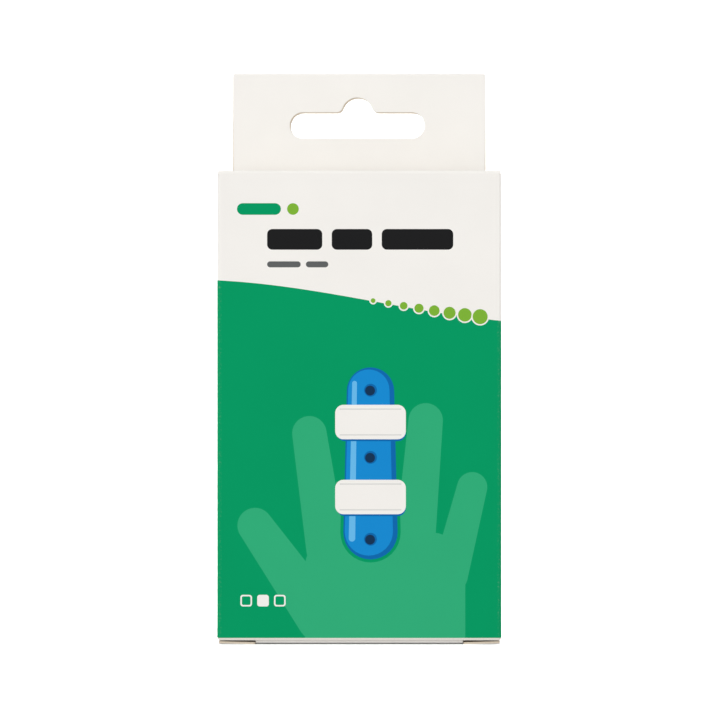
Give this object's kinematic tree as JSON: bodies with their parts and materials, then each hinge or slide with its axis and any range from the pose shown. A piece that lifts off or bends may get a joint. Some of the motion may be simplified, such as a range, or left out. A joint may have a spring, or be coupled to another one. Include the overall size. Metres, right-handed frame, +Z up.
{
  "type": "hang-tab carton for a finger splint",
  "caption": "Slim upright folding carton for a finger splint, printed board, with a slotted hang tab, hinged tuck closures at both ends and dust flaps.",
  "frame": {"origin": "middle of the standing face, under the carton's body", "axes": "+Z up along the carton to the hang tab, the printed front panel faces -Y, +X to the right seen from the front"},
  "size_m": [0.066, 0.024, 0.134],
  "materials": {
    "printed_board": "green and white print under a satin varnish",
    "white_board": "coated white board, tan at the cut edges and inside"
  },
  "bodies": {
    "carton": {"sleeve": "printed_board", "hang_tab": "white_board", "top_left_dust_flap": "white_board", "top_right_dust_flap": "white_board", "bottom_left_dust_flap": "white_board", "bottom_right_dust_flap": "white_board"},
    "top_lid": {"top_closure_panel": "white_board", "top_tuck_flap": "white_board"},
    "bottom_lid": {"bottom_closure_panel": "white_board", "bottom_tuck_flap": "white_board"}
  },
  "joints": [
    {"name": "top_lid_crease", "type": "hinge", "parent": "carton", "child": "top_lid", "pos_m": [0, -0.01175, 0.10975], "axis": [1, 0, 0], "range_deg": [0, 180]},
    {"name": "bottom_lid_crease", "type": "hinge", "parent": "carton", "child": "bottom_lid", "pos_m": [0, 0.01175, 0.00025], "axis": [1, 0, 0], "range_deg": [0, 180]}
  ]
}
